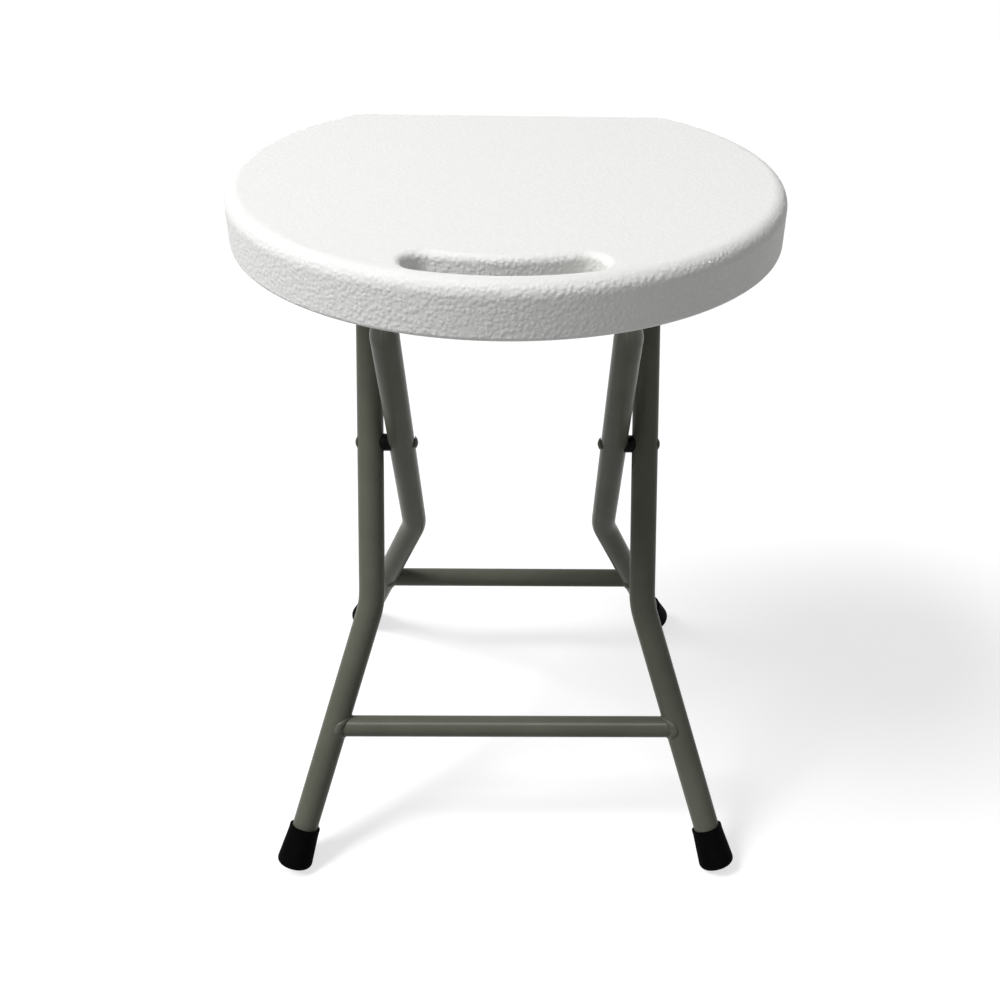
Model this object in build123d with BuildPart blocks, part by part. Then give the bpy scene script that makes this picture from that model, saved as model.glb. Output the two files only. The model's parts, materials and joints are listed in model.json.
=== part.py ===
from build123d import *
from collections import namedtuple
import os
from math import asin, cos, degrees, radians, sin

os.makedirs("parts", exist_ok=True)

# Seat, mm
seat_dia = 330.0
seat_height = 460.0
seat_thick = 31.5
seat_flat = 127.5
seat_y = 1.69
flat_corner_radius = 14.0
rim_top_radius = 8.5
rim_bottom_radius = 2.5
seat_wall = 3.0

# Hand grip
grip_bar = 12.7
grip_slot = 21.2
grip_length = 103.5
grip_top_radius = 4.5
grip_bottom_radius = 3.0

# Dimples that tie the underside to the top skin
dimple_dia = 24.0
dimple_taper = 11.0
dimple_ring = 122.0
dimple_ring_angle = 25.0
dimple_inner = 24.0
dimple_back = 95.0
dimple_front = 104.0

# Leg frames
outer_lean = 27.5
inner_lean = 28.4
cross_height = 271.5
cross_back = 7.0
pivot_drop = 16.0
outer_bend_height = 172.5
inner_bend_height = 166.5
outer_half = 94.2
frame_gap = 3.35
front_foot_half = 153.4
rear_foot_half = 133.2
tube_dia = 18.0
tube_wall = 1.0
bend_radius = 60.0
bar_dia = 15.0
bar_wall = 1.0
front_bar_height = 94.0
rear_bar_height = 80.0

# Pressed leg ends
press_lead = 6.0
press_length = 26.0
press_width = 24.0
press_thick = 3.2
press_slit = 0.6
press_flat = 12.5
press_side_angle = 24.0
inner_blade_inset = 3.5

# Crossing
cross_pin_dia = 6.0
cross_head_dia = 7.6
cross_head_rise = 1.3
cross_tail_dia = 9.0
cross_tail_rise = 2.0
spacer_dia = 12.0

# Seat hinge
hinge_pin_dia = 7.0
hinge_head_dia = 12.0
hinge_head_rise = 2.4
washer_dia = 15.0
washer_thick = 1.0
plate = 2.0
ear_radius = 11.0
ear_base = 34.0
flange_depth = 36.0
flange_length = 48.0
flange_corner = 6.0
plate_bend = 1.5

# Front rod and catches
rod_dia = 10.0
tenon_dia = 7.0
rod_head_dia = 11.0
rod_head_rise = 2.5
catch_inset = 31.0
catch_width = 26.0
catch_base = 4.0
catch_length = 62.0
catch_nose = 12.0
catch_wall = 5.0
catch_lip_angle = 20.0
catch_mouth_angle = 36.0

# Screws
screw_dia = 4.0
screw_length = 14.0
screw_head_dia = 8.4
screw_head_rise = 2.6
screw_slot = 1.0
screw_boss_dia = 13.0
catch_screw_reach = 23.0
bracket_screw_reach = 16.0
bracket_screw_inset = 9.0

# Feet
foot_length = 30.0
foot_lift = 3.8
foot_top_dia = 21.6
foot_base_dia = 25.6
foot_collar = 4.0
foot_edge = 4.5
foot_web = 6.0

# Clearances
running_gap = 0.05
touch_gap = 0.05
free_gap = 0.3

seat_radius = seat_dia / 2
under = seat_height - seat_thick
pivot_height = under - pivot_drop
tube_radius = tube_dia / 2
bar_radius = bar_dia / 2
rod_radius = rod_dia / 2
inner_half = outer_half - tube_dia - frame_gap
inner_blade = inner_half - inner_blade_inset
catch_x = inner_half - catch_inset
cross = Vector(0, seat_y + cross_back, cross_height)

# A pair of legs: the plane of their axes, their distances from the middle and their heights
Frame = namedtuple("Frame", "plane top_half foot_half blade_half bend_height bar_height pin_dia")
upright = Plane(cross, x_dir=(1, 0, 0), z_dir=(0, -1, 0))
outer_frame = Frame(
    upright.rotated((-outer_lean, 0, 0)),
    outer_half,
    front_foot_half,
    outer_half,
    outer_bend_height,
    front_bar_height,
    hinge_pin_dia,
)
inner_frame = Frame(
    upright.rotated((inner_lean, 0, 0)),
    inner_half,
    rear_foot_half,
    inner_blade,
    inner_bend_height,
    rear_bar_height,
    tenon_dia,
)


def up_leg(frame, height):
    """Distance along a frame's legs from the crossing to a height above the floor."""
    return (height - cross_height) / frame.plane.y_dir.Z


def on_leg(frame, half, height):
    """Point of a frame at a height above the floor and a distance from its middle."""
    return frame.plane.from_local_coords(Vector(half, up_leg(frame, height), 0))


hinge_point = on_leg(outer_frame, 0, pivot_height)
rod_point = on_leg(inner_frame, 0, pivot_height)


def lower_axis(frame):
    """Floor point and upward direction of the splayed lower part of a right leg."""
    foot = on_leg(frame, frame.foot_half, 0)
    bend = on_leg(frame, frame.top_half, frame.bend_height)
    return foot, (bend - foot).normalized()


def grip_outline(spread):
    """Arc-shaped outline of the hand grip, widened on every side."""
    middle_radius = seat_radius - grip_bar - grip_slot / 2
    half_angle = degrees(asin((grip_length - grip_slot) / 2 / middle_radius))
    middle = CenterArc((0, seat_y), middle_radius, 270 - half_angle, 2 * half_angle, mode=Mode.PRIVATE)
    SlotArc(middle, grip_slot + 2 * spread)


def seat_outline(inset):
    """Round outline with a straight back edge, drawn in by an inset."""
    with Locations((0, seat_y)):
        Circle(seat_radius - inset)
    with Locations((0, seat_y + seat_flat - inset)):
        Rectangle(seat_dia, seat_dia, align=(Align.CENTER, Align.MIN), mode=Mode.SUBTRACT)
    corners = vertices().filter_by(lambda v: abs(v.Y - seat_y - seat_flat + inset) < touch_gap)
    fillet(corners, flat_corner_radius - inset)


dimple_spots = [
    (0, seat_y + dimple_back),
    (0, seat_y - dimple_front),
]
for side in (-1, 1):
    for end in (-1, 1):
        ring_x = dimple_ring * cos(radians(dimple_ring_angle))
        ring_y = dimple_ring * sin(radians(dimple_ring_angle))
        dimple_spots.append((side * ring_x, seat_y + end * ring_y))
        dimple_spots.append((side * dimple_inner, seat_y + end * dimple_inner))

ear_face = outer_half - press_thick / 2 - free_gap - washer_thick
screw_spots = []
for side in (-1, 1):
    flange_x = ear_face - flange_depth + bracket_screw_inset
    for end in (-1, 1):
        screw_spots.append((side * flange_x, hinge_point.Y + end * bracket_screw_reach, plate))
        screw_spots.append((side * catch_x, rod_point.Y + end * catch_screw_reach, catch_base))
    screw_spots.append((side * (ear_face - bracket_screw_inset), hinge_point.Y, plate))
screw_points = [(x, y) for x, y, base in screw_spots]

with BuildPart() as seat_cavity:
    with BuildSketch(Plane.XY.offset(under + seat_wall)):
        seat_outline(seat_wall)
    extrude(amount=seat_thick - 2 * seat_wall)
    fillet(faces().sort_by(Axis.Z)[-1].edges(), rim_top_radius - seat_wall)
    with BuildSketch(Plane.XY.offset(under)):
        grip_outline(grip_bar)
    extrude(amount=seat_thick, mode=Mode.SUBTRACT)
    with BuildSketch(Plane.XY.offset(under)):
        with Locations(*dimple_spots):
            Circle(dimple_dia / 2 + seat_wall)
    extrude(amount=seat_thick, taper=dimple_taper, mode=Mode.SUBTRACT)
    with BuildSketch(Plane.XY.offset(under)):
        with Locations(*screw_points):
            Circle(screw_boss_dia / 2)
    extrude(amount=seat_thick, mode=Mode.SUBTRACT)

with BuildPart() as seat:
    with BuildSketch(Plane.XY.offset(under)):
        seat_outline(0)
    extrude(amount=seat_thick)
    fillet(faces().sort_by(Axis.Z)[-1].edges(), rim_top_radius)
    fillet(faces().sort_by(Axis.Z)[0].edges(), rim_bottom_radius)
    with BuildSketch(Plane.XY.offset(under)):
        grip_outline(0)
    extrude(amount=seat_thick, mode=Mode.SUBTRACT)
    fillet(faces().sort_by(Axis.Z)[-1].inner_wires()[0].edges(), grip_top_radius)
    fillet(faces().sort_by(Axis.Z)[0].inner_wires()[0].edges(), grip_bottom_radius)
    with BuildSketch(Plane.XY.offset(under)):
        with Locations(*dimple_spots):
            Circle(dimple_dia / 2)
    extrude(amount=seat_thick - 2 * seat_wall, taper=dimple_taper, mode=Mode.SUBTRACT)
    with BuildSketch(Plane.XY.offset(under)):
        with Locations(*screw_points):
            Circle(screw_dia / 2 + touch_gap)
    extrude(amount=screw_length, mode=Mode.SUBTRACT)
    add(seat_cavity.part, mode=Mode.SUBTRACT)


def round_section(radius):
    """Circle drawn as four arcs that match the four sides of a pressed section."""
    flank = 180 - 2 * press_side_angle
    with BuildLine() as ring:
        CenterArc((0, 0), radius, -press_side_angle, 2 * press_side_angle)
        CenterArc((0, 0), radius, press_side_angle, flank)
        CenterArc((0, 0), radius, 180 - press_side_angle, 2 * press_side_angle)
        CenterArc((0, 0), radius, 180 + press_side_angle, flank)
    make_face(ring.edges())


def leg_section(frame, half, up):
    """Plane across a leg, long side of the pressed end along its own x."""
    spot = frame.plane.from_local_coords(Vector(half, up, 0))
    return Plane(origin=spot, x_dir=frame.plane.z_dir, z_dir=frame.plane.y_dir)


def pressed_run(frame, radius, blade_width, blade_thick):
    """Solid that keeps a round section for a lead and then flattens into a blade."""
    blade_up = up_leg(frame, pivot_height) - press_flat
    round_up = blade_up - press_length
    with BuildPart() as run:
        for up in (round_up - press_lead, round_up):
            with BuildSketch(leg_section(frame, frame.top_half, up)):
                round_section(radius)
        with BuildSketch(leg_section(frame, frame.blade_half, blade_up)):
            SlotOverall(blade_width, blade_thick)
        loft()
    return run.part


def leg(frame):
    """Right leg: bent tube with a pressed, pierced top end and a pin hole at the crossing."""
    foot, rise = lower_axis(frame)
    start = frame.plane.to_local_coords(foot + rise * (foot_lift + foot_web + touch_gap))
    pivot = on_leg(frame, frame.blade_half, pivot_height)
    blade_up = up_leg(frame, pivot_height) - press_flat
    with BuildPart() as tube:
        with BuildLine(frame.plane) as run:
            FilletPolyline(
                (start.X, start.Y),
                (frame.top_half, up_leg(frame, frame.bend_height)),
                (frame.top_half, blade_up - press_length - press_lead),
                radius=bend_radius,
            )
        with BuildSketch(Plane(origin=run.line @ 0, z_dir=run.line % 0)):
            Circle(tube_radius)
            Circle(tube_radius - tube_wall, mode=Mode.SUBTRACT)
        sweep()
        add(pressed_run(frame, tube_radius, press_width, press_thick))
        bore = pressed_run(frame, tube_radius - tube_wall, press_width - 2 * tube_wall, press_slit)
        add(bore, mode=Mode.SUBTRACT)
        with BuildSketch(leg_section(frame, frame.blade_half, blade_up)):
            SlotOverall(press_width, press_thick)
        extrude(amount=press_flat)
        with BuildSketch(Plane.YZ.offset(frame.blade_half - press_thick / 2)):
            with Locations((pivot.Y, pivot.Z)):
                Circle(press_width / 2)
        extrude(amount=press_thick)
        with BuildSketch(Plane.YZ.offset(frame.top_half)):
            with Locations((pivot.Y, pivot.Z)):
                Circle(frame.pin_dia / 2 + running_gap)
            with Locations((cross.Y, cross.Z)):
                Circle(cross_pin_dia / 2 + running_gap)
        extrude(amount=tube_dia, both=True, mode=Mode.SUBTRACT)
    return tube.part


def crossbar(frame):
    """Low tube between two legs, its ends cut to the round of the legs."""
    foot, rise = lower_axis(frame)
    half = frame.foot_half + (frame.top_half - frame.foot_half) * frame.bar_height / frame.bend_height
    middle = on_leg(frame, 0, frame.bar_height)
    with BuildPart() as bar:
        with BuildSketch(Plane.YZ):
            with Locations((middle.Y, middle.Z)):
                Circle(bar_radius)
                Circle(bar_radius - bar_wall, mode=Mode.SUBTRACT)
        extrude(amount=half, both=True)
        for side in (-1, 1):
            base = Vector(side * foot.X, foot.Y, foot.Z)
            with BuildSketch(Plane(origin=base, z_dir=(side * rise.X, rise.Y, rise.Z))):
                Circle(tube_radius + touch_gap)
            extrude(amount=frame.bend_height, mode=Mode.SUBTRACT)
    return bar.part


def foot_cap(frame):
    """Right rubber cap turned about the leg, its sole cut level with the floor."""
    foot, rise = lower_axis(frame)
    across = rise.cross(Vector(1, 0, 0)).normalized()
    top = foot_lift + foot_length
    bore = tube_radius + touch_gap
    with BuildPart() as cap:
        with BuildSketch(Plane(origin=foot, x_dir=across, z_dir=across.cross(rise))):
            with BuildLine():
                Polyline(
                    (0, foot_lift),
                    (foot_base_dia / 2, foot_lift),
                    (foot_top_dia / 2, top - foot_collar),
                    (foot_top_dia / 2, top),
                    (bore, top),
                    (bore, foot_lift + foot_web),
                    (0, foot_lift + foot_web),
                    close=True,
                )
            make_face()
            fillet(vertices().sort_by_distance((foot_base_dia, 0))[0], foot_edge)
        revolve(axis=Axis(foot, rise))
        split(bisect_by=Plane.XY, keep=Keep.TOP)
    return cap.part


def headed_pin(point, start, end, pin_dia, start_head, end_head):
    """Pin along x with a domed head at each end, given by its diameter and rise."""
    start_dia, start_rise = start_head
    end_dia, end_rise = end_head
    with BuildPart() as pin:
        with BuildSketch(Plane(origin=point, x_dir=(1, 0, 0), z_dir=(0, -1, 0))):
            with BuildLine():
                TangentArc((start - start_rise, 0), (start, start_dia / 2), tangent=(0, 1))
                Polyline(
                    (start, start_dia / 2),
                    (start, pin_dia / 2),
                    (end, pin_dia / 2),
                    (end, end_dia / 2),
                )
                TangentArc((end + end_rise, 0), (end, end_dia / 2), tangent=(0, 1))
                Line((end + end_rise, 0), (start - start_rise, 0))
            make_face()
        revolve(axis=Axis(point, (1, 0, 0)))
    return pin.part


def saddle(frame, face):
    """Right bush at the crossing, flat on one side and hollowed to the frame's leg on the other."""
    axis = on_leg(frame, frame.top_half, cross_height)
    with BuildPart() as bush:
        with BuildSketch(Plane.YZ.offset(face)):
            with Locations((cross.Y, cross.Z)):
                Circle(spacer_dia / 2)
                Circle(cross_pin_dia / 2 + running_gap, mode=Mode.SUBTRACT)
        extrude(amount=frame.top_half - face)
        with BuildSketch(Plane(origin=axis, z_dir=frame.plane.y_dir)):
            Circle(tube_radius + touch_gap)
        extrude(amount=spacer_dia, both=True, mode=Mode.SUBTRACT)
    return bush.part


def washer(point, start, thick, outer_dia, inner_dia):
    """Flat ring across x."""
    with BuildPart() as ring:
        with BuildSketch(Plane.YZ.offset(start)):
            with Locations((point.Y, point.Z)):
                Circle(outer_dia / 2)
                Circle(inner_dia / 2 + running_gap, mode=Mode.SUBTRACT)
        extrude(amount=thick)
    return ring.part


def mirrored(source):
    """Left-hand copy of a right-hand piece."""
    with BuildPart() as copy:
        mirror(source, about=Plane.YZ)
    return copy.part


with BuildPart() as hinge_bracket_right:
    with BuildSketch(Plane.YZ.offset(ear_face - plate)):
        with BuildLine():
            Polyline(
                (hinge_point.Y - ear_base / 2, under - touch_gap),
                (hinge_point.Y - ear_radius, hinge_point.Z),
                (hinge_point.Y + ear_radius, hinge_point.Z),
                (hinge_point.Y + ear_base / 2, under - touch_gap),
                close=True,
            )
        make_face()
        with Locations((hinge_point.Y, hinge_point.Z)):
            Circle(ear_radius)
            Circle(hinge_pin_dia / 2 + touch_gap, mode=Mode.SUBTRACT)
    extrude(amount=plate)
    with BuildSketch(Plane.XY.offset(under - touch_gap - plate)):
        with Locations((ear_face - flange_depth / 2, hinge_point.Y)):
            Rectangle(flange_depth, flange_length)
        fillet(vertices().group_by(Axis.X)[0], flange_corner)
        with Locations(*[(x, y) for x, y, base in screw_spots if base == plate]):
            Circle(screw_dia / 2 + touch_gap, mode=Mode.SUBTRACT)
    extrude(amount=plate)
    inside_bend = edges().filter_by(Axis.Y).filter_by(
        lambda e: abs(e.center().X - ear_face + plate) < touch_gap
        and abs(e.center().Z - under + touch_gap + plate) < touch_gap
    )
    fillet(inside_bend, plate_bend)

with BuildPart() as catch_right:
    seat_line = under - touch_gap
    socket = rod_radius + free_gap
    mouth = radians(catch_mouth_angle)
    outer = socket + catch_wall
    with BuildSketch(Plane.YZ.offset(catch_x - catch_width / 2)):
        with BuildLine():
            hook = CenterArc((rod_point.Y, rod_point.Z), outer, 180, catch_lip_angle)
            Polyline(
                hook @ 1,
                (rod_point.Y, rod_point.Z),
                (rod_point.Y + outer * cos(mouth), rod_point.Z + outer * sin(mouth)),
                (rod_point.Y + catch_nose, seat_line),
                (rod_point.Y - catch_nose, seat_line),
                hook @ 0,
            )
        make_face()
        with Locations((rod_point.Y, rod_point.Z)):
            Circle(socket, mode=Mode.SUBTRACT)
    extrude(amount=catch_width)
    with BuildSketch(Plane.XY.offset(seat_line - catch_base)):
        with Locations((catch_x, rod_point.Y)):
            RectangleRounded(catch_width, catch_length, flange_corner)
    extrude(amount=catch_base)
    with BuildSketch(Plane.XY.offset(seat_line)):
        with Locations(*[(x, y) for x, y, base in screw_spots if base == catch_base]):
            Circle(screw_dia / 2 + touch_gap)
    extrude(amount=-catch_base, mode=Mode.SUBTRACT)

with BuildPart() as seat_screws:
    for x, y, base in screw_spots:
        head_top = under - touch_gap - base - touch_gap
        with BuildSketch(Plane.XY.offset(head_top)):
            with Locations((x, y)):
                Circle(screw_dia / 2)
        extrude(amount=screw_length - touch_gap)
        with BuildSketch(Plane.XY.offset(head_top)):
            with Locations((x, y)):
                Circle(screw_head_dia / 2)
        extrude(amount=-screw_head_rise)
        with BuildSketch(Plane.XY.offset(head_top - screw_head_rise)):
            with Locations((x, y)):
                Rectangle(screw_dia, screw_slot)
                Rectangle(screw_slot, screw_dia)
        extrude(amount=screw_head_rise / 2, mode=Mode.SUBTRACT)

cross_outer = outer_half + tube_radius + touch_gap
cross_inner = inner_half - tube_radius - free_gap
hinge_outer = outer_half + press_thick / 2 + free_gap
hinge_inner = ear_face - plate - touch_gap

with BuildPart() as inner_top_rod:
    add(
        headed_pin(
            rod_point,
            -inner_blade - press_thick / 2 - touch_gap,
            inner_blade + press_thick / 2 + touch_gap,
            tenon_dia,
            (rod_head_dia, rod_head_rise),
            (rod_head_dia, rod_head_rise),
        )
    )
    with BuildSketch(Plane.YZ):
        with Locations((rod_point.Y, rod_point.Z)):
            Circle(rod_radius)
    extrude(amount=inner_blade - press_thick / 2 - touch_gap, both=True)

outer_leg = leg(outer_frame)
inner_leg = leg(inner_frame)
front_foot = foot_cap(outer_frame)
rear_foot = foot_cap(inner_frame)
cross_rivet = headed_pin(
    cross,
    cross_inner,
    cross_outer,
    cross_pin_dia,
    (cross_tail_dia, cross_tail_rise),
    (cross_head_dia, cross_head_rise),
)
hinge_rivet = headed_pin(
    hinge_point,
    hinge_inner,
    hinge_outer,
    hinge_pin_dia,
    (hinge_head_dia, hinge_head_rise),
    (hinge_head_dia, hinge_head_rise),
)
cross_middle = (outer_half + inner_half) / 2
cross_spacer = saddle(outer_frame, cross_middle + free_gap / 2)
cross_bush = saddle(inner_frame, cross_middle - free_gap / 2)
hinge_washer = washer(
    hinge_point, ear_face + touch_gap, washer_thick - touch_gap, washer_dia, hinge_pin_dia
)

pieces = {
    "seat": seat.part,
    "hinge_bracket_right": hinge_bracket_right.part,
    "hinge_bracket_left": mirrored(hinge_bracket_right.part),
    "hinge_rivet_right": hinge_rivet,
    "hinge_rivet_left": mirrored(hinge_rivet),
    "hinge_washer_right": hinge_washer,
    "hinge_washer_left": mirrored(hinge_washer),
    "catch_right": catch_right.part,
    "catch_left": mirrored(catch_right.part),
    "seat_screws": seat_screws.part,
    "outer_leg_right": outer_leg,
    "outer_leg_left": mirrored(outer_leg),
    "outer_crossbar": crossbar(outer_frame),
    "front_foot_right": front_foot,
    "front_foot_left": mirrored(front_foot),
    "cross_rivet_right": cross_rivet,
    "cross_rivet_left": mirrored(cross_rivet),
    "cross_spacer_right": cross_spacer,
    "cross_spacer_left": mirrored(cross_spacer),
    "cross_bush_right": cross_bush,
    "cross_bush_left": mirrored(cross_bush),
    "inner_leg_right": inner_leg,
    "inner_leg_left": mirrored(inner_leg),
    "inner_crossbar": crossbar(inner_frame),
    "inner_top_rod": inner_top_rod.part,
    "rear_foot_right": rear_foot,
    "rear_foot_left": mirrored(rear_foot),
}
for name, piece in pieces.items():
    piece.label = name
    export_step(piece, f"parts/{name}.step")
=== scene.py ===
import json
from math import atan2, cos, hypot, pi, radians, sin

import bpy
from mathutils import Matrix, Vector


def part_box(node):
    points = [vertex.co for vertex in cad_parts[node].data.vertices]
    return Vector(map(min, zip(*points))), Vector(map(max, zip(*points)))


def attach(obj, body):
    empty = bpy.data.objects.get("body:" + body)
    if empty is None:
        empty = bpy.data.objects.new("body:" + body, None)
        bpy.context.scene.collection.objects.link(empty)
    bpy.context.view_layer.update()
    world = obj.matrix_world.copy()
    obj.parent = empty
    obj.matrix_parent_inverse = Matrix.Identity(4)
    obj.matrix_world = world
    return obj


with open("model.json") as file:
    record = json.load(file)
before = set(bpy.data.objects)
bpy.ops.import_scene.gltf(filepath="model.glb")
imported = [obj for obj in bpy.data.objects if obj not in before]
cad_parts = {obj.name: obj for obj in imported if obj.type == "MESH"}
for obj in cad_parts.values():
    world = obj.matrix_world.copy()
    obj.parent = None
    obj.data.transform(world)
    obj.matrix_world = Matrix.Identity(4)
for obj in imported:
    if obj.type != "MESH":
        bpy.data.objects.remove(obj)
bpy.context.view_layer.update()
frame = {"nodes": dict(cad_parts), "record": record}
nodes = frame["nodes"]
millimetre = 0.001

# Camera
camera_place = (0.00835, -0.71082, 0.6898)
camera_pitch = radians(34.88)
camera_yaw = radians(1.26)
camera_roll = radians(1.04)
camera_lens = 43.465
camera_shift = (-0.0414, 0.0428)

# Studio
key_azimuth = radians(200)
key_elevation = radians(52)
key_spread = radians(20)
key_level = 1.88
side_box_place = (-0.75, -0.25, 1.7)
side_box_size = (0.3, 0.3)
side_box_power = 7.6
gloss_strip_place = (0.0, -0.8, 1.745)
gloss_strip_size = (1.2, 0.34)
gloss_strip_power = 52.0
stool_middle = Vector((0, 0, 0.25))
sky_white = (1, 1, 1, 1)
sky_level = 0.225
sky_seen_level = 1.0
floor_size = 30.0
floor_grey = (0.46, 0.46, 0.46, 1)
floor_glow = 0.685

# Colours, linear
seat_white = (0.885, 0.885, 0.868, 1)
# Darker seat colour for the grain's valleys: painted shade in the creases
seat_crease_shade = (0.860, 0.860, 0.842, 1)
paint_green = (0.124, 0.129, 0.102, 1)
paint_shade = (0.111, 0.116, 0.091, 1)
rubber_black = (0.001, 0.001, 0.001, 1)
rubber_dust = (0.003, 0.003, 0.0028, 1)
nylon_black = (0.002, 0.002, 0.002, 1)
nylon_worn = (0.005, 0.005, 0.0048, 1)
zinc_bright = (0.56, 0.56, 0.54, 1)
zinc_dull = (0.40, 0.40, 0.38, 1)

# Gloss: specular level, and roughness at the low and high end of each pattern
seat_gloss = 0.2
seat_roughness = (0.5, 0.62)
paint_gloss = 0.07
paint_roughness = (0.33, 0.28)
rubber_gloss = 0.02
rubber_roughness = (0.7, 0.85)
plastic_gloss = 0.05
nylon_roughness = (0.32, 0.47)
catch_roughness = (0.45, 0.60)
zinc_roughness = (0.28, 0.45)

# Patterns: scales are features per metre, spans are the part of a noise that is used
noise_middle = (0.5, 0.5, 0.5)
plain_detail = 2.0
whole_span = (0, 1)
pebble_scale = 400
pebble_smoothness = 0.3
pebble_span = (0.1, 0.75)
pebble_push_scale = 200
pebble_push_reach = 1.4 * millimetre
swell_scale = 330
grain_depth = 0.23 * millimetre
grain_facing_span = (0.6, 1)
grain_side_and_top = (1, 0.42)
paint_patch_scale = 35
paint_patch_detail = 3.0
paint_colour_span = (0.35, 0.65)
paint_gloss_span = (0.3, 0.7)
paint_peel_scale = 700
paint_peel_depth = 0.04 * millimetre
dust_scale = 120
dust_detail = 4.0
dust_span = (0.45, 0.75)
rubber_grain_scale = 900
rubber_grain_depth = 0.1 * millimetre
wear_scale = 150
wear_detail = 3.0
wear_span = (0.4, 0.7)
nylon_grain_scale = 1500
catch_grain_scale = 1000
plastic_grain_depth = 0.06 * millimetre
zinc_cloud_scale = 260
zinc_cloud_detail = 4.0
zinc_cloud_span = (0.35, 0.7)
zinc_grain_scale = 1800
zinc_grain_depth = 0.02 * millimetre

# Weld beads: half width and height on the leg's faces and in the corners
outer_leg_lean = radians(27.5)
inner_leg_lean = radians(-28.4)
bar_skin_depth = 0.25 * millimetre
bead_face_size = (2.8 * millimetre, 1.6 * millimetre)
bead_corner_size = (1.0 * millimetre, 0.6 * millimetre)
bead_face_lean = 0.3
bead_leg_reach = 1.8 * millimetre
bead_leg_rise = 0.5
bead_taper = 4
bead_steps = 96
bead_sides = 16
bead_ripples = 11
bead_ripple_share = 0.06


def add_node(tree, kind, **settings):
    """New shader node with its plain settings."""
    node = tree.nodes.new(kind)
    for name, value in settings.items():
        setattr(node, name, value)
    return node


def start_material(name):
    """New node material, its tree and its surface shader."""
    material = bpy.data.materials.new(name)
    material.use_nodes = True
    tree = material.node_tree
    return material, tree, tree.nodes["Principled BSDF"]


def place_of(tree):
    """Position on the object, in metres."""
    return add_node(tree, "ShaderNodeTexCoord").outputs["Object"]


def facing_up(tree):
    """Upward part of the surface's normal, 1 on level tops."""
    parts = add_node(tree, "ShaderNodeSeparateXYZ")
    tree.links.new(add_node(tree, "ShaderNodeTexCoord").outputs["Normal"], parts.inputs[0])
    return parts.outputs["Z"]


def noise(tree, place, scale, detail=plain_detail):
    """Noise texture, features about one over the scale in size."""
    node = add_node(tree, "ShaderNodeTexNoise")
    node.inputs["Scale"].default_value = scale
    node.inputs["Detail"].default_value = detail
    tree.links.new(place, node.inputs["Vector"])
    return node


def warped(tree, place, scale, reach):
    """Position pushed about by noise."""
    push = noise(tree, place, scale)
    centre = add_node(tree, "ShaderNodeVectorMath", operation="SUBTRACT")
    centre.inputs[1].default_value = noise_middle
    tree.links.new(push.outputs["Color"], centre.inputs[0])
    stretch = add_node(tree, "ShaderNodeVectorMath", operation="SCALE")
    stretch.inputs["Scale"].default_value = reach
    tree.links.new(centre.outputs[0], stretch.inputs[0])
    moved = add_node(tree, "ShaderNodeVectorMath", operation="ADD")
    tree.links.new(place, moved.inputs[0])
    tree.links.new(stretch.outputs[0], moved.inputs[1])
    return moved.outputs[0]


def ranged(tree, value, span, results, curve="LINEAR"):
    """Value mapped from a span to a range of results."""
    node = add_node(tree, "ShaderNodeMapRange", interpolation_type=curve)
    node.inputs["From Min"].default_value, node.inputs["From Max"].default_value = span
    node.inputs["To Min"].default_value, node.inputs["To Max"].default_value = results
    tree.links.new(value, node.inputs["Value"])
    return node.outputs["Result"]


def pebbled(tree, place):
    """Rounded pebbles, 0 at the middle of each and 1 in the valleys between."""
    cells = add_node(tree, "ShaderNodeTexVoronoi", feature="SMOOTH_F1")
    cells.inputs["Scale"].default_value = pebble_scale
    cells.inputs["Smoothness"].default_value = pebble_smoothness
    tree.links.new(place, cells.inputs["Vector"])
    return ranged(tree, cells.outputs["Distance"], pebble_span, whole_span, "SMOOTHSTEP")


def combine(tree, operation, first, second):
    """Two values joined by a plain sum, product or the like."""
    node = add_node(tree, "ShaderNodeMath", operation=operation)
    for socket, value in zip(node.inputs, (first, second)):
        if isinstance(value, float):
            socket.default_value = value
        else:
            tree.links.new(value, socket)
    return node.outputs[0]


def tint(tree, shader, share, low, high):
    """Base colour that goes from low to high with a share."""
    ramp = add_node(tree, "ShaderNodeValToRGB")
    ramp.color_ramp.elements[0].color = low
    ramp.color_ramp.elements[1].color = high
    tree.links.new(share, ramp.inputs["Fac"])
    tree.links.new(ramp.outputs["Color"], shader.inputs["Base Color"])


def roughen(tree, shader, value, span, results):
    """Roughness that follows a value."""
    tree.links.new(ranged(tree, value, span, results), shader.inputs["Roughness"])


def emboss(tree, shader, height, depth):
    """Relief of a depth in metres."""
    node = add_node(tree, "ShaderNodeBump")
    node.inputs["Distance"].default_value = depth
    tree.links.new(height, node.inputs["Height"])
    tree.links.new(node.outputs["Normal"], shader.inputs["Normal"])


def seat_plastic():
    """White moulded plastic with a soft leather grain, fainter on top, and painted shade darkening the
    valleys between pebbles.
    """
    material, tree, shader = start_material("seat_plastic")
    place = place_of(tree)
    valley = pebbled(tree, warped(tree, place, pebble_push_scale, pebble_push_reach))
    swell = noise(tree, place, swell_scale).outputs["Fac"]
    relief = ranged(tree, facing_up(tree), grain_facing_span, grain_side_and_top)
    height = combine(tree, "MULTIPLY", combine(tree, "SUBTRACT", swell, valley), relief)
    emboss(tree, shader, height, grain_depth)
    # The valleys between pebbles are tinted darker here: painted shade in the grain's creases
    tint(tree, shader, valley, seat_white, seat_crease_shade)
    roughen(tree, shader, valley, whole_span, seat_roughness)
    shader.inputs["Specular IOR Level"].default_value = seat_gloss
    return material


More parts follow.
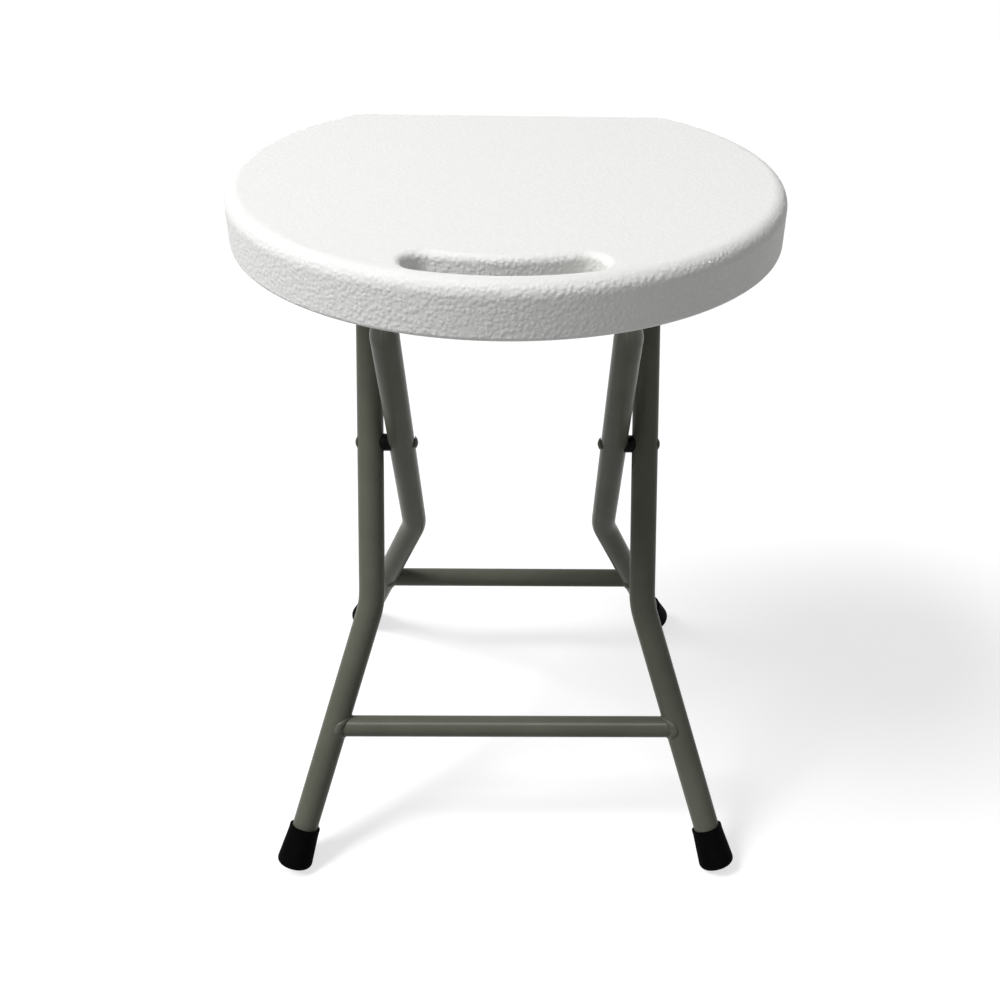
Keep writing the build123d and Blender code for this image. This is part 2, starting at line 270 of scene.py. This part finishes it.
def frame_paint():
    """Grey-green satin powder coat with a faint orange peel."""
    material, tree, shader = start_material("frame_paint")
    place = place_of(tree)
    patches = noise(tree, place, paint_patch_scale, paint_patch_detail).outputs["Fac"]
    share = ranged(tree, patches, paint_colour_span, whole_span)
    tint(tree, shader, share, paint_shade, paint_green)
    roughen(tree, shader, patches, paint_gloss_span, paint_roughness)
    emboss(tree, shader, noise(tree, place, paint_peel_scale).outputs["Fac"], paint_peel_depth)
    shader.inputs["Specular IOR Level"].default_value = paint_gloss
    return material


def foot_rubber():
    """Matt black rubber, a little dusty."""
    material, tree, shader = start_material("foot_rubber")
    place = place_of(tree)
    specks = noise(tree, place, dust_scale, dust_detail).outputs["Fac"]
    dust = ranged(tree, specks, dust_span, whole_span)
    tint(tree, shader, dust, rubber_black, rubber_dust)
    roughen(tree, shader, dust, whole_span, rubber_roughness)
    emboss(tree, shader, noise(tree, place, rubber_grain_scale).outputs["Fac"], rubber_grain_depth)
    shader.inputs["Specular IOR Level"].default_value = rubber_gloss
    return material


def black_plastic(name, grain_scale, roughness):
    """Black moulded plastic with a spark-eroded grain."""
    material, tree, shader = start_material(name)
    place = place_of(tree)
    rubbing = noise(tree, place, wear_scale, wear_detail).outputs["Fac"]
    wear = ranged(tree, rubbing, wear_span, whole_span)
    tint(tree, shader, wear, nylon_black, nylon_worn)
    roughen(tree, shader, wear, whole_span, roughness)
    emboss(tree, shader, noise(tree, place, grain_scale).outputs["Fac"], plastic_grain_depth)
    shader.inputs["Specular IOR Level"].default_value = plastic_gloss
    return material


def zinc_steel():
    """Zinc plated steel with cloudy patches."""
    material, tree, shader = start_material("zinc_steel")
    place = place_of(tree)
    mottle = noise(tree, place, zinc_cloud_scale, zinc_cloud_detail).outputs["Fac"]
    clouds = ranged(tree, mottle, zinc_cloud_span, whole_span)
    tint(tree, shader, clouds, zinc_bright, zinc_dull)
    roughen(tree, shader, clouds, whole_span, zinc_roughness)
    emboss(tree, shader, noise(tree, place, zinc_grain_scale).outputs["Fac"], zinc_grain_depth)
    shader.inputs["Metallic"].default_value = 1.0
    return material


def finish_of_slots():
    """One material for each slot of the record."""
    return {
        "seat_plastic": seat_plastic(),
        "frame_paint": frame_paint(),
        "foot_rubber": foot_rubber(),
        "black_nylon": black_plastic("black_nylon", nylon_grain_scale, nylon_roughness),
        "black_plastic": black_plastic("black_plastic", catch_grain_scale, catch_roughness),
        "zinc_steel": zinc_steel(),
    }


def dress(finishes):
    """Gives every solid the finish of its slot."""
    for subpart in frame["record"]["subparts"]:
        mesh = nodes[subpart["node"]].data
        mesh.materials.clear()
        mesh.materials.append(finishes[subpart["material_slot"]])


def link(thing):
    """Puts an object into the scene."""
    bpy.context.scene.collection.objects.link(thing)
    return thing


def coped_edge(bar, side):
    """Angle and place of the points where one end of a crossbar meets its leg."""
    low, high = (Vector(corner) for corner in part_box(bar))
    centre = (low + high) / 2
    skin = (high.z - low.z) / 2 - bar_skin_depth
    edge = []
    for vertex in nodes[bar].data.vertices:
        across = vertex.co - centre
        if across.x * side > 0 and hypot(across.y, across.z) > skin:
            edge.append((atan2(across.z, across.y), vertex.co.copy()))
    return sorted(edge, key=lambda point: point[0])


def point_at(edge, angle):
    """Place on a coped edge at an angle round the bar, between its two nearest points."""
    turn = 2 * pi
    ring = [(a - turn, p) for a, p in edge] + edge + [(a + turn, p) for a, p in edge]
    for (before, start), (after, end) in zip(ring, ring[1:]):
        if before <= angle < after:
            return start.lerp(end, (angle - before) / (after - before))


def bead_rings(bar, side, leg_lean):
    """Rings of points along a weld bead round one end of a crossbar, widest on the leg's faces."""
    edge = coped_edge(bar, side)
    spokes = [2 * pi * count / bead_sides for count in range(bead_sides)]
    rings = []
    for step in range(bead_steps):
        angle = 2 * pi * step / bead_steps - pi
        corner = sin(angle + leg_lean) ** bead_taper
        lean = bead_face_lean + (1 - bead_face_lean) * corner
        outward = Vector((-side * lean, cos(angle), sin(angle))).normalized()
        along = Vector((0, -sin(angle), cos(angle)))
        beside = outward.cross(along).normalized()
        ripple = 1 + bead_ripple_share * cos(bead_ripples * angle)
        width, height = (
            (face * (1 - corner) + tight * corner) * ripple
            for face, tight in zip(bead_face_size, bead_corner_size)
        )
        reach = bead_leg_reach * (1 - corner)
        onto_leg = Vector((side, bead_leg_rise * cos(angle), bead_leg_rise * sin(angle)))
        middle = point_at(edge, angle) + onto_leg * reach
        rings.append(
            [middle + beside * width * cos(spoke) + outward * height * sin(spoke) for spoke in spokes]
        )
    return rings


def ring_mesh(name, rings):
    """Smooth closed mesh through a loop of rings."""
    sides = len(rings[0])
    faces = []
    for ring in range(len(rings)):
        start = ring * sides
        after = (ring + 1) % len(rings) * sides
        for spoke in range(sides):
            next_spoke = (spoke + 1) % sides
            faces.append((start + spoke, start + next_spoke, after + next_spoke, after + spoke))
    mesh = bpy.data.meshes.new(name)
    mesh.from_pydata([point for ring in rings for point in ring], [], faces)
    mesh.shade_smooth()
    return mesh


def weld_beads(bar, body, leg_lean, finish):
    """Bead at both ends of a crossbar."""
    for side, side_name in ((-1, "left"), (1, "right")):
        name = f"{bar}_weld_{side_name}"
        bead = link(bpy.data.objects.new(name, ring_mesh(name, bead_rings(bar, side, leg_lean))))
        bead.data.materials.append(finish)
        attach(bead, body)


def seen_directly(tree):
    """1 for what the camera sees, also in gloss and through clear things."""
    path = add_node(tree, "ShaderNodeLightPath")
    either = combine(tree, "MAXIMUM", path.outputs["Is Camera Ray"], path.outputs["Is Glossy Ray"])
    return combine(tree, "MAXIMUM", either, path.outputs["Is Transmission Ray"])


def floor_paper():
    """Pale paper that looks white where it is seen and keeps a faint shadow."""
    material = bpy.data.materials.new("studio_floor")
    material.use_nodes = True
    tree = material.node_tree
    tree.nodes.clear()
    paper = add_node(tree, "ShaderNodeBsdfDiffuse")
    paper.inputs["Color"].default_value = floor_grey
    glow = add_node(tree, "ShaderNodeEmission")
    tree.links.new(combine(tree, "MULTIPLY", seen_directly(tree), floor_glow), glow.inputs["Strength"])
    both = add_node(tree, "ShaderNodeAddShader")
    tree.links.new(paper.outputs[0], both.inputs[0])
    tree.links.new(glow.outputs[0], both.inputs[1])
    output = add_node(tree, "ShaderNodeOutputMaterial")
    tree.links.new(both.outputs[0], output.inputs["Surface"])
    return material


def studio_floor():
    """Wide level floor under the feet."""
    half = floor_size / 2
    corners = [(-half, -half, 0), (half, -half, 0), (half, half, 0), (-half, half, 0)]
    mesh = bpy.data.meshes.new("floor")
    mesh.from_pydata(corners, [], [range(len(corners))])
    mesh.materials.append(floor_paper())
    floor = link(bpy.data.objects.new("floor", mesh))


def studio_sky():
    """Even soft light from all round, white where it is seen."""
    world = bpy.data.worlds.new("studio")
    bpy.context.scene.world = world
    world.use_nodes = True
    tree = world.node_tree
    sky = tree.nodes["Background"]
    sky.inputs["Color"].default_value = sky_white
    level = ranged(tree, seen_directly(tree), whole_span, (sky_level, sky_seen_level))
    tree.links.new(level, sky.inputs["Strength"])


def key_lamp():
    """Broad soft light from up on the left."""
    lamp = bpy.data.lights.new("key", "SUN")
    lamp.angle = key_spread
    lamp.energy = key_level
    key = link(bpy.data.objects.new("key", lamp))
    level = cos(key_elevation)
    towards = Vector((level * cos(key_azimuth), level * sin(key_azimuth), sin(key_elevation)))
    key.rotation_euler = towards.to_track_quat("Z", "Y").to_euler()


def soft_box(name, place, size, power):
    """Soft box that faces the stool."""
    lamp = bpy.data.lights.new(name, "AREA")
    lamp.shape = "RECTANGLE"
    lamp.size, lamp.size_y = size
    lamp.energy = power
    box = link(bpy.data.objects.new(name, lamp))
    box.location = place
    box.rotation_euler = (Vector(place) - stool_middle).to_track_quat("Z", "Y").to_euler()
    return box


def photo_camera():
    """Camera at the photograph's place and angle."""
    data = bpy.data.cameras.new("camera")
    data.lens = camera_lens
    data.shift_x, data.shift_y = camera_shift
    camera = link(bpy.data.objects.new("camera", data))
    turn = Matrix.Rotation(-camera_yaw, 4, "Z")
    tilt = Matrix.Rotation(pi / 2 - camera_pitch, 4, "X")
    roll = Matrix.Rotation(camera_roll, 4, "Z")
    camera.matrix_world = Matrix.Translation(camera_place) @ turn @ tilt @ roll
    bpy.context.scene.camera = camera


finishes = finish_of_slots()
dress(finishes)
weld_beads("outer_crossbar", "outer_frame", outer_leg_lean, finishes["frame_paint"])
weld_beads("inner_crossbar", "inner_frame", inner_leg_lean, finishes["frame_paint"])
studio_floor()
studio_sky()
key_lamp()
soft_box("side_box", side_box_place, side_box_size, side_box_power)
gloss_strip = soft_box("gloss_strip", gloss_strip_place, gloss_strip_size, gloss_strip_power)
gloss_strip.visible_diffuse = False
photo_camera()
bpy.context.scene.view_settings.view_transform = "Standard"
